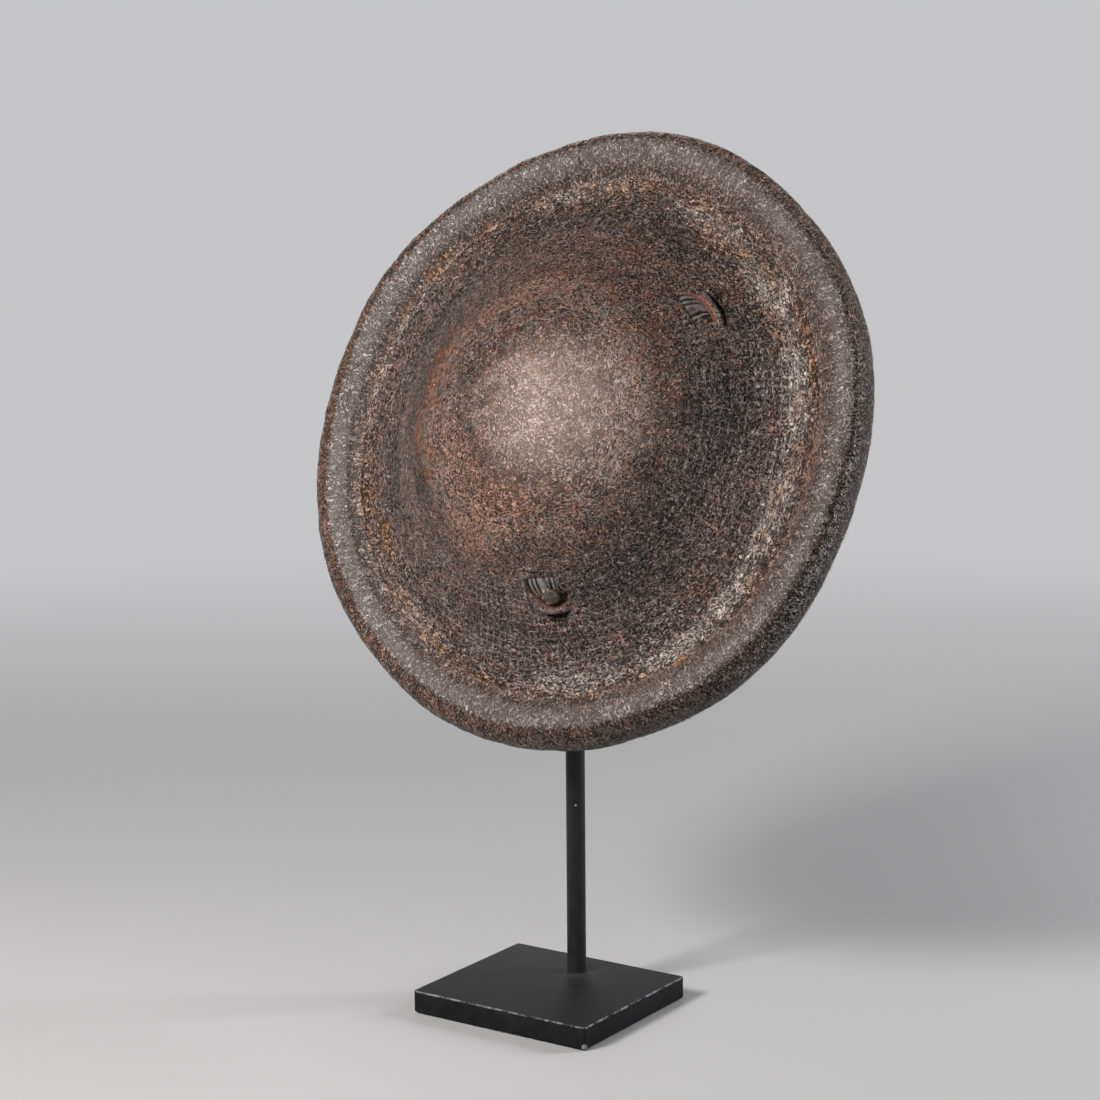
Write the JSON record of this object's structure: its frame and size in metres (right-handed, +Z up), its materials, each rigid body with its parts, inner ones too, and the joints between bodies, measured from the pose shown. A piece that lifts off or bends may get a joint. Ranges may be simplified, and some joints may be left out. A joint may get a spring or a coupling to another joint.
{
  "type": "hide shield on display stand",
  "caption": "Round domed hide shield with a rolled rim and a leather grip strap knotted through slots, leaning on a steel post stand with hidden hooks.",
  "frame": {"origin": "middle of the stand's underside, on the surface that it stands on", "axes": "+Z up; the shield's front looks along -Y and leans back towards +Y; +X is on the viewer's right"},
  "size_m": [0.5257, 0.2348, 0.7198],
  "materials": {
    "hide": "thick raw hide, dark brown to black, worn to a low sheen on the dome",
    "strap_leather": "dark glossy worn strap leather",
    "thong_leather": "dry brown thong leather",
    "black_steel": "satin black paint",
    "screw_steel": "plain steel",
    "felt": "black wool felt"
  },
  "bodies": {
    "stand": {"base_felt": "felt", "base_plate": "black_steel", "post": "black_steel", "base_screw": "screw_steel", "hanger_head": "black_steel", "head_grub_screw": "screw_steel", "hanger_fork": "black_steel", "left_hook_felt": "felt", "right_hook_felt": "felt", "stop_collar": "black_steel", "collar_grub_screw": "screw_steel", "stop_rod": "black_steel", "stop_felt": "felt"},
    "shield": {"hide_shell": "hide", "upper_strap_knot": "strap_leather", "lower_strap_knot": "strap_leather", "upper_thong_tie": "thong_leather", "lower_thong_tie": "thong_leather"},
    "grip": {"grip_strap": "strap_leather", "grip_wrap": "thong_leather"}
  },
  "joints": [
    {"name": "shield_lift_off", "type": "slide", "parent": "stand", "child": "shield", "axis": [0, 0, 1], "range_m": [0, 0.06]},
    {"name": "grip_swing", "type": "hinge", "parent": "shield", "child": "grip", "pos_m": [0.09507, 0.06513, 0.54985], "axis": [-0.3349, -0.3557, -0.8725], "range_deg": [-20, 20], "stiffness_Nm_per_rad": 0.4}
  ]
}
